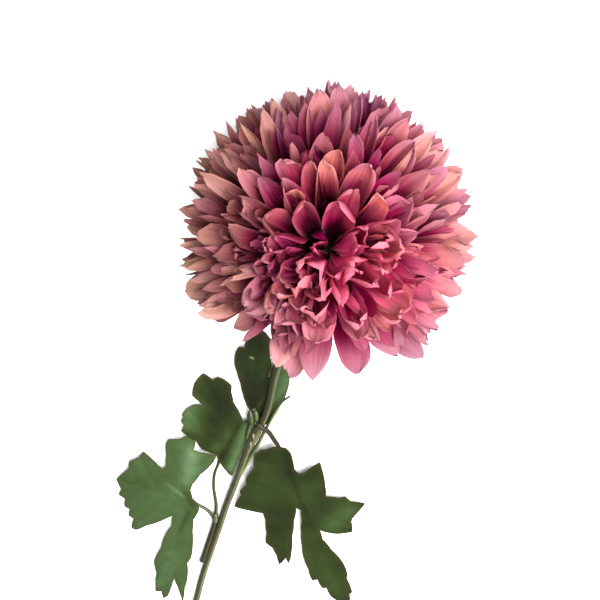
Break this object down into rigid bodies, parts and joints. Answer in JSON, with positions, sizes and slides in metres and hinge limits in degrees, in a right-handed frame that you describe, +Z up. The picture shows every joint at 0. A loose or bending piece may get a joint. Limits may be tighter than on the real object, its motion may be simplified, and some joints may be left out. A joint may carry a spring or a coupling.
{
  "type": "disbud chrysanthemum",
  "caption": "Disbud chrysanthemum lying flat: a large round bloom of layered petals on a cut stem with lobed leaves, to put in a vase or on a table.",
  "frame": {"origin": "middle of the whole flower's box, on the surface that it lies on", "axes": "+Y along the stem from the cut end to the bloom, +Z up from the surface"},
  "size_m": [0.1771, 0.393, 0.1172],
  "materials": {
    "petal": "soft matt petal, wine at the root, pink to peach at the tip",
    "calyx": "matt green",
    "stem": "matt olive green",
    "leaf": "matt dark green leaf"
  },
  "bodies": {
    "root": {"bloom": "petal", "calyx": "calyx", "stem": "stem", "leaf_upper": "leaf", "leaf_behind": "leaf", "leaf_middle": "leaf", "leaf_lower_left": "leaf", "leaf_lower_right": "leaf"}
  },
  "joints": []
}
